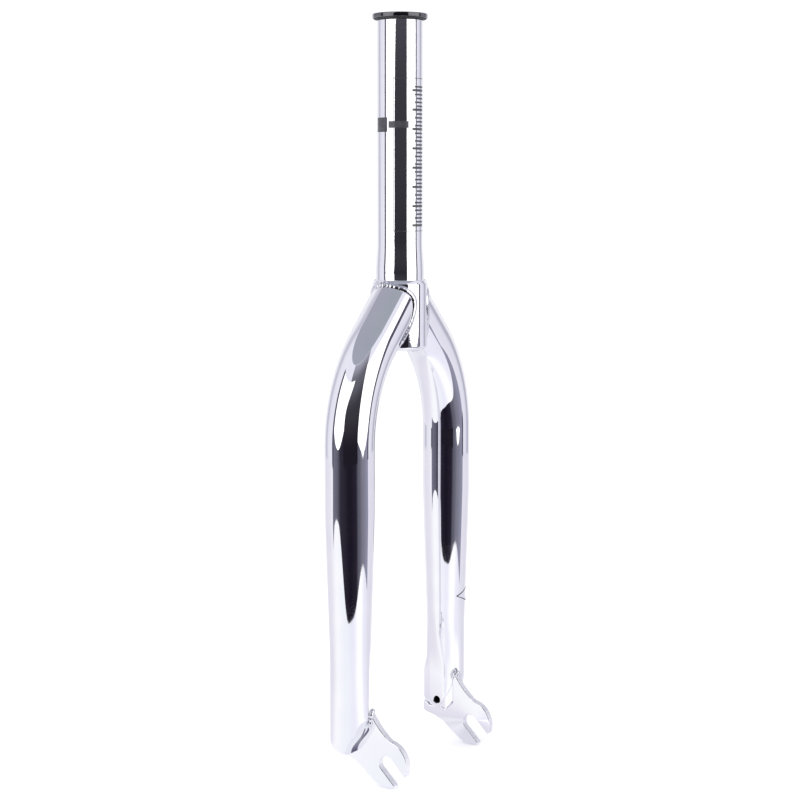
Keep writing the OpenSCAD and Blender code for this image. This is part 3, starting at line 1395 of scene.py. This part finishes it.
@dataclass
class Marks:
    """Plain printed marks: a scale in a frame, a badge, and a rhombus on the left leg.

    Turns are angles round a tube from the facing direction, in degrees.
    """

    tube_r: float
    path: LegPath
    facing: float
    film: float = 0.05 * MM
    lift: float = 0.03 * MM
    scale_foot: float = 34 * MM
    scale_top: float = 122 * MM
    tick_pitch: float = 2.4 * MM
    tick_end: float = 76
    tick_starts: Triple = (33, 41, 48)
    tick_weights: Point = (1.5 * MM, 1.1 * MM)
    tick_group: int = 5
    cell_turn: float = 3
    frame_turns: Point = (-18, 80)
    frame_side: float = -16.6
    frame_room: Point = (3 * MM, 4 * MM)
    frame_line: float = 0.35 * MM
    badge_turns: Point = (-78, -34)
    badge_heights: Point = (93 * MM, 102 * MM)
    bar_turns: Point = (-30, 22)
    bar_heights: Point = (95.4 * MM, 99.6 * MM)
    rhombus_z: float = -214 * MM
    rhombus_half: float = 4.5 * MM
    rhombus_turn: float = 82
    rhombus_reach: float = 50
    rhombus_line: float = 0.6 * MM
    rhombus_lift: float = 0.14 * MM

    def _patch(self, turns: Point, heights: Point, axis_x: float, radius: float,
               climb: float = 0.0) -> bpy.types.Object:
        """A patch of film rolled on a tube.

        Args:
            turns: Its first and last angle from the facing direction, in degrees.
            heights: Its foot and top.
            axis_x: The tube's axis.
            radius: The tube's radius.
            climb: How much higher its last side is than its first.

        Returns:
            The patch, as thick as the film.
        """
        deselect()
        cells = max(2, round(abs(turns[1] - turns[0]) / self.cell_turn))
        bpy.ops.mesh.primitive_grid_add(x_subdivisions=cells, y_subdivisions=1, size=2)
        patch = settle("patch")
        for vertex in patch.data.vertices:
            along, up = (vertex.co.x + 1) / 2, (vertex.co.y + 1) / 2
            turn = math.radians(self.facing + turns[0] + (turns[1] - turns[0]) * along)
            reach = radius + self.lift
            vertex.co = (
                axis_x + reach * math.sin(turn),
                -reach * math.cos(turn),
                heights[0] + (heights[1] - heights[0]) * up + climb * along,
            )
        solid = patch.modifiers.new("film", "SOLIDIFY")
        solid.thickness = self.film
        solid.offset = 1
        take(patch)
        bpy.ops.object.modifier_apply(modifier=solid.name)
        return patch

    def _join(self, name: str, patches: list[bpy.types.Object]) -> None:
        """Joins patches into one printed piece and dresses it.

        Args:
            name: The piece's name.
            patches: Its patches.
        """
        deselect()
        for patch in patches:
            patch.select_set(True)
        bpy.context.view_layer.objects.active = patches[0]
        bpy.ops.object.join()
        piece = patches[0]
        piece.name = name
        piece.data.name = name
        PRINT_BLACK.dress(piece)
        smooth(piece, angle=30)
        fit(piece, FORK, "mark")

    def _scale(self) -> None:
        """The scale: ticks of three lengths."""
        count = int((self.scale_top - self.scale_foot) / self.tick_pitch)
        long, middle, short = self.tick_starts
        heavy, light = self.tick_weights
        patches = []
        for k in range(count + 1):
            z = self.scale_foot + k * self.tick_pitch
            start, weight = (short if k % 2 else middle), light
            if k % self.tick_group == 0:
                start, weight = long, heavy
            patches.append(self._patch((start, self.tick_end), (z, z + weight), 0, self.tube_r))
        self._join("steerer_scale", patches)

    def _frame(self) -> None:
        """The fine frame round the scale."""
        low, high = self.scale_foot - self.frame_room[0], self.scale_top + self.frame_room[1]
        line, turns = self.frame_line, self.frame_turns
        patches = [
            self._patch(turns, (low, low + line), 0, self.tube_r),
            self._patch(turns, (high, high + line), 0, self.tube_r),
            self._patch((turns[0], self.frame_side), (low, high), 0, self.tube_r),
        ]
        self._join("steerer_frame", patches)

    def _badge(self) -> None:
        """The small dark badge on the steerer's rear side, with a bar beside it."""
        patches = [
            self._patch(self.badge_turns, self.badge_heights, 0, self.tube_r),
            self._patch(self.bar_turns, self.bar_heights, 0, self.tube_r),
        ]
        self._join("steerer_badge", patches)

    def _rhombus(self) -> None:
        """The small rhombus of four lines on the left leg's front."""
        middle, reach, half = self.rhombus_turn, self.rhombus_reach, self.rhombus_half
        corners = [(middle - reach, 0), (middle, half), (middle + reach, 0), (middle, -half)]
        radius = self.path.radius(self.rhombus_z) + self.rhombus_lift
        line = self.rhombus_line
        patches = []
        for (turn_a, rise_a), (turn_b, rise_b) in zip(corners, corners[1:] + corners[:1]):
            if turn_a > turn_b:
                turn_a, rise_a, turn_b, rise_b = turn_b, rise_b, turn_a, rise_a
            low, slope = self.rhombus_z + rise_a - line / 2, rise_b - rise_a
            patches.append(
                self._patch((turn_a, turn_b), (low, low + line), self.path.axis_x, radius, slope)
            )
        self._join("leg_rhombus", patches)

    def build(self) -> None:
        """Makes all the marks."""
        self._scale()
        self._frame()
        self._badge()
        self._rhombus()


# --------------------------------------------------------------- the studio


@dataclass
class Card:
    """A curved studio card that only reflections see.

    Attributes:
        name: The card's name.
        glow: What it shows.
        turns: Its first and last angle from the camera's side, in degrees.
        heights: Its foot and top.
        radius: Its distance from the steerer's axis.
        arch: How much higher its foot's corners are than its middle.
        lean: How far its last side leans out towards its top, in degrees.
        lean_from: The height that the lean starts from.
    """

    name: str
    glow: Glow
    turns: Point
    heights: Point
    radius: float
    arch: float = 0.0
    lean: float = 0.0
    lean_from: float = 0.25

    def build(self, studio: "Studio") -> None:
        """Makes the card as a part of a cylinder round the object.

        Args:
            studio: The studio that it hangs in.
        """
        deselect()
        bpy.ops.mesh.primitive_grid_add(x_subdivisions=40, y_subdivisions=24, size=2)
        card = settle(self.name)
        for vertex in card.data.vertices:
            across, up = vertex.co.x, (vertex.co.y + 1) / 2
            foot = self.heights[0] + self.arch * across**2
            height = foot + (self.heights[1] - foot) * up
            share = (across + 1) / 2
            last = self.turns[1] + self.lean * ease(height, self.lean_from, self.heights[1])
            turn = studio.facing + math.radians(self.turns[0] + (last - self.turns[0]) * share)
            vertex.co = (self.radius * math.sin(turn), -self.radius * math.cos(turn), height)
        studio.hang(card, self.glow)


@dataclass
class Studio:
    """The floor, the light, the cards that the chrome mirrors, and the camera.

    Turns are angles round the object from the camera's side, in degrees.
    """

    azimuth: float = -58.08
    distance: float = 1.15
    eye: float = 0.0595
    aim: float = -0.0616
    lens: float = 81.3
    rise: float = -0.03
    table_reach: float = 0.4
    left_lobe: float = 0.45
    right_lobe: float = 0.13
    wall_reach: float = 1.35
    light_top: float = 0.95
    wall_top: float = 1.5
    low_wall_h: float = 0.42
    edge_reach: float = 0.99
    gap_reach: float = 1.01
    ground_reach: float = 1.02
    air_reach: float = 1.03
    floor_drop: float = 0.5 * MM
    card_drop: float = 10 * MM
    table_hole: float = 1 * MM
    table_lift: float = 0.5 * MM
    ground_lift: float = 1 * MM
    floor_r: float = 9
    sensor: float = 36
    lamp_reach: float = 1.5
    air_colour: Colour = (0.89, 0.885, 0.99)
    air_mirrored: float = 0.98
    air_seen: float = 1.12

    @property
    def facing(self) -> float:
        """The camera's side of the object, as an angle from forward in radians."""
        return math.radians(self.azimuth)

    def hang(self, card: bpy.types.Object, glow: Glow) -> None:
        """Lights a card and keeps it out of everything but reflections.

        Args:
            card: The card's object.
            glow: What it shows.
        """
        name = f"card_{glow.name.lower()}"
        material = bpy.data.materials.get(name) or self._glow_material(name, glow)
        card.data.materials.append(material)
        card.visible_camera = False
        card.visible_diffuse = False
        card.visible_shadow = False
        card.visible_transmission = False
        card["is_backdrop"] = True

    def _glow_material(self, name: str, glow: Glow) -> bpy.types.Material:
        """A glowing material whose colour runs round the object, or up it for GAP.

        Args:
            name: The material's name.
            glow: What it shows.

        Returns:
            The material.
        """
        material = bpy.data.materials.new(name)
        material.use_nodes = True
        nodes, links = material.node_tree.nodes, material.node_tree.links
        nodes.clear()
        place = nodes.new("ShaderNodeTexCoord")
        ramp = nodes.new("ShaderNodeValToRGB")
        ramp.color_ramp.interpolation = "EASE"
        if glow is Glow.GAP:
            low, high = glow.value[0][0], glow.value[-1][0]
            split = nodes.new("ShaderNodeSeparateXYZ")
            reach = nodes.new("ShaderNodeMapRange")
            reach.inputs["From Min"].default_value = low
            reach.inputs["From Max"].default_value = high
            links.new(place.outputs["Object"], split.inputs["Vector"])
            links.new(split.outputs["Z"], reach.inputs["Value"])
            links.new(reach.outputs["Result"], ramp.inputs["Fac"])
        else:
            low, high = -180, 180
            turn = nodes.new("ShaderNodeMapping")
            turn.inputs["Rotation"].default_value = (0, 0, math.pi / 2 - self.facing)
            round_fade = nodes.new("ShaderNodeTexGradient")
            round_fade.gradient_type = "RADIAL"
            links.new(place.outputs["Object"], turn.inputs["Vector"])
            links.new(turn.outputs["Vector"], round_fade.inputs["Vector"])
            links.new(round_fade.outputs["Fac"], ramp.inputs["Fac"])
        stops = ramp.color_ramp.elements
        for k, (position, colour) in enumerate(glow.value):
            stop = stops[k] if k < 2 else stops.new(1)
            stop.position = (position - low) / (high - low)
            stop.color = (*colour, 1)
        shine = nodes.new("ShaderNodeEmission")
        out = nodes.new("ShaderNodeOutputMaterial")
        links.new(ramp.outputs["Color"], shine.inputs["Color"])
        links.new(shine.outputs["Emission"], out.inputs["Surface"])
        return material

    def _table_edge(self, turn: float) -> float:
        """How far the pale table reaches at an angle from the camera's side, in degrees."""
        lobe = self.left_lobe if turn < 0 else self.right_lobe
        return self.table_reach + lobe * math.sin(math.radians(1.5 * turn)) ** 4

    def _ground(self, floor_z: float, name: str, glow: Glow, turns: Point, whole: bool) -> None:
        """The table's top or the ground past its edge, as reflections see it.

        Args:
            floor_z: The floor's height.
            name: The card's name.
            glow: What it shows.
            turns: Its first and last angle from the camera's side, in degrees.
            whole: True for the table under the object, False for the ground past it.
        """
        deselect()
        bpy.ops.mesh.primitive_grid_add(x_subdivisions=96, y_subdivisions=2, size=2)
        card = settle(name)
        for vertex in card.data.vertices:
            along, out = (vertex.co.x + 1) / 2, (vertex.co.y + 1) / 2
            turn = turns[0] + (turns[1] - turns[0]) * along
            inner = self.table_hole if whole else self._table_edge(turn)
            radius = inner + (self.wall_reach * self.ground_reach - inner) * out
            angle = self.facing + math.radians(turn)
            height = floor_z + (self.table_lift if whole else self.ground_lift)
            vertex.co = (radius * math.sin(angle), -radius * math.cos(angle), height)
        self.hang(card, glow)

    def _floor(self, floor_z: float) -> None:
        """The plain pale floor.

        Args:
            floor_z: Its height.
        """
        deselect()
        bpy.ops.mesh.primitive_circle_add(
            vertices=ROUND, radius=self.floor_r, fill_type="NGON", location=(0, 0, floor_z)
        )
        floor = settle("floor")
        PALE_FLOOR.dress(floor)
        floor.visible_glossy = False
        floor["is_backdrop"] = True

    def _world(self) -> None:
        """Soft light from all round: white to the camera, a shade cooler in the chrome."""
        world = bpy.data.worlds.new("studio_air")
        bpy.context.scene.world = world
        world.use_nodes = True
        nodes, links = world.node_tree.nodes, world.node_tree.links
        nodes.clear()
        path = nodes.new("ShaderNodeLightPath")
        mirrored_air = nodes.new("ShaderNodeBackground")
        mirrored_air.inputs["Color"].default_value = (*self.air_colour, 1)
        mirrored_air.inputs["Strength"].default_value = self.air_mirrored
        seen_air = nodes.new("ShaderNodeBackground")
        seen_air.inputs["Color"].default_value = (1, 1, 1, 1)
        seen_air.inputs["Strength"].default_value = self.air_seen
        mix = nodes.new("ShaderNodeMixShader")
        out = nodes.new("ShaderNodeOutputWorld")
        links.new(path.outputs["Is Glossy Ray"], mix.inputs["Fac"])
        links.new(seen_air.outputs["Background"], mix.inputs[1])
        links.new(mirrored_air.outputs["Background"], mix.inputs[2])
        links.new(mix.outputs["Shader"], out.inputs["Surface"])

    def _lamp(self, name: str, turn: float, height: float, size: float, power: float) -> None:
        """A soft lamp that looks at the object.

        Args:
            name: The lamp's name.
            turn: Its angle from the camera's side, in degrees.
            height: Its height.
            size: Its width.
            power: Its power.
        """
        data = bpy.data.lights.new(name, "AREA")
        data.energy = power
        data.size = size
        lamp = bpy.data.objects.new(name, data)
        bpy.context.scene.collection.objects.link(lamp)
        angle = self.facing + math.radians(turn)
        lamp.location = (self.lamp_reach * math.sin(angle), -self.lamp_reach * math.cos(angle), height)
        aim = Vector((0, 0, self.aim)) - lamp.location
        lamp.rotation_euler = aim.to_track_quat("-Z", "Y").to_euler()
        lamp.visible_glossy = False

    def _camera(self) -> None:
        """The camera, level with the upper legs and looking a little down."""
        data = bpy.data.cameras.new("camera")
        data.lens = self.lens
        data.sensor_width = self.sensor
        data.shift_y = self.rise
        camera = bpy.data.objects.new("camera", data)
        bpy.context.scene.collection.objects.link(camera)
        camera.location = (
            self.distance * math.sin(self.facing), -self.distance * math.cos(self.facing), self.eye
        )
        aim = Vector((0, 0, self.aim)) - camera.location
        camera.rotation_euler = aim.to_track_quat("-Z", "Y").to_euler()
        bpy.context.scene.camera = camera

    def build(self, low: Vector) -> None:
        """Sets the studio up round the object.

        Args:
            low: The lowest corner of the object's box.
        """
        floor_z = low.z - self.floor_drop
        bpy.context.scene.view_settings.view_transform = "Standard"
        self._camera()
        self._world()
        self._floor(floor_z)
        wall, light_top, wall_top = self.wall_reach, self.light_top, self.wall_top
        foot = floor_z - self.card_drop
        self._ground(floor_z, "table_top", Glow.TABLE, turns=(-180, 180), whole=True)
        self._ground(floor_z, "far_ground", Glow.GROUND, turns=(-80, 91), whole=False)
        cards = [
            Card("light_left", Glow.LIGHT, turns=(-77, -28), heights=(foot + 0.06, light_top),
                 radius=wall, arch=0.3, lean=20),
            Card("light_right", Glow.LIGHT, turns=(35, 88), heights=(foot + 0.02, light_top),
                 radius=wall, arch=0.12),
            Card("dark_gap", Glow.GAP, turns=(-28, 35), heights=(foot, wall_top),
                 radius=wall * self.gap_reach),
            Card("low_wall", Glow.GROUND, turns=(-80, 91), heights=(foot, foot + self.low_wall_h),
                 radius=wall * self.ground_reach),
            Card("edge_left", Glow.GREY, turns=(-84, -75), heights=(foot, light_top),
                 radius=wall * self.edge_reach),
            Card("edge_right", Glow.GREY, turns=(86, 94), heights=(foot, light_top),
                 radius=wall * self.edge_reach),
            Card("back_air", Glow.AIR, turns=(91, 280), heights=(foot, wall_top),
                 radius=wall * self.air_reach),
        ]
        for card in cards:
            card.build(self)
        deselect()
        bpy.ops.mesh.primitive_circle_add(
            vertices=CEILING_ROUND, radius=wall, fill_type="NGON", location=(0, 0, wall_top)
        )
        self.hang(settle("ceiling"), Glow.CEILING)
        self._lamp("key", turn=-50, height=1.2, size=1.0, power=10)
        self._lamp("fill", turn=60, height=0.8, size=1.2, power=7)
        log.info("studio: floor at %.4f m, %d upright cards", floor_z, len(cards))


# ------------------------------------------------------------------- main


def main() -> None:
    """Loads the frame, makes every piece in order and sets up the studio."""
    logging.basicConfig(level=logging.INFO, format="%(name)s %(message)s")
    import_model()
    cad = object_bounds()
    steerer = Steerer()
    steerer.build()
    leg_low, leg_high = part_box("left_leg")
    path = LegPath(base_r=steerer.base_r, outer_x=leg_high.x, foot=leg_low.z)
    for side in Side:
        plate = Dropout(side)
        plate.build()
        Leg(side, path, plate).build()
        Welds(side, path, plate.inner, plate.thickness).build()
    PreloadCap().build(steerer.bore_r)
    Marks(tube_r=steerer.tube_r, path=path, facing=Studio.azimuth).build()
    Studio().build(cad[0])


if __name__ == "__main__":
    main()
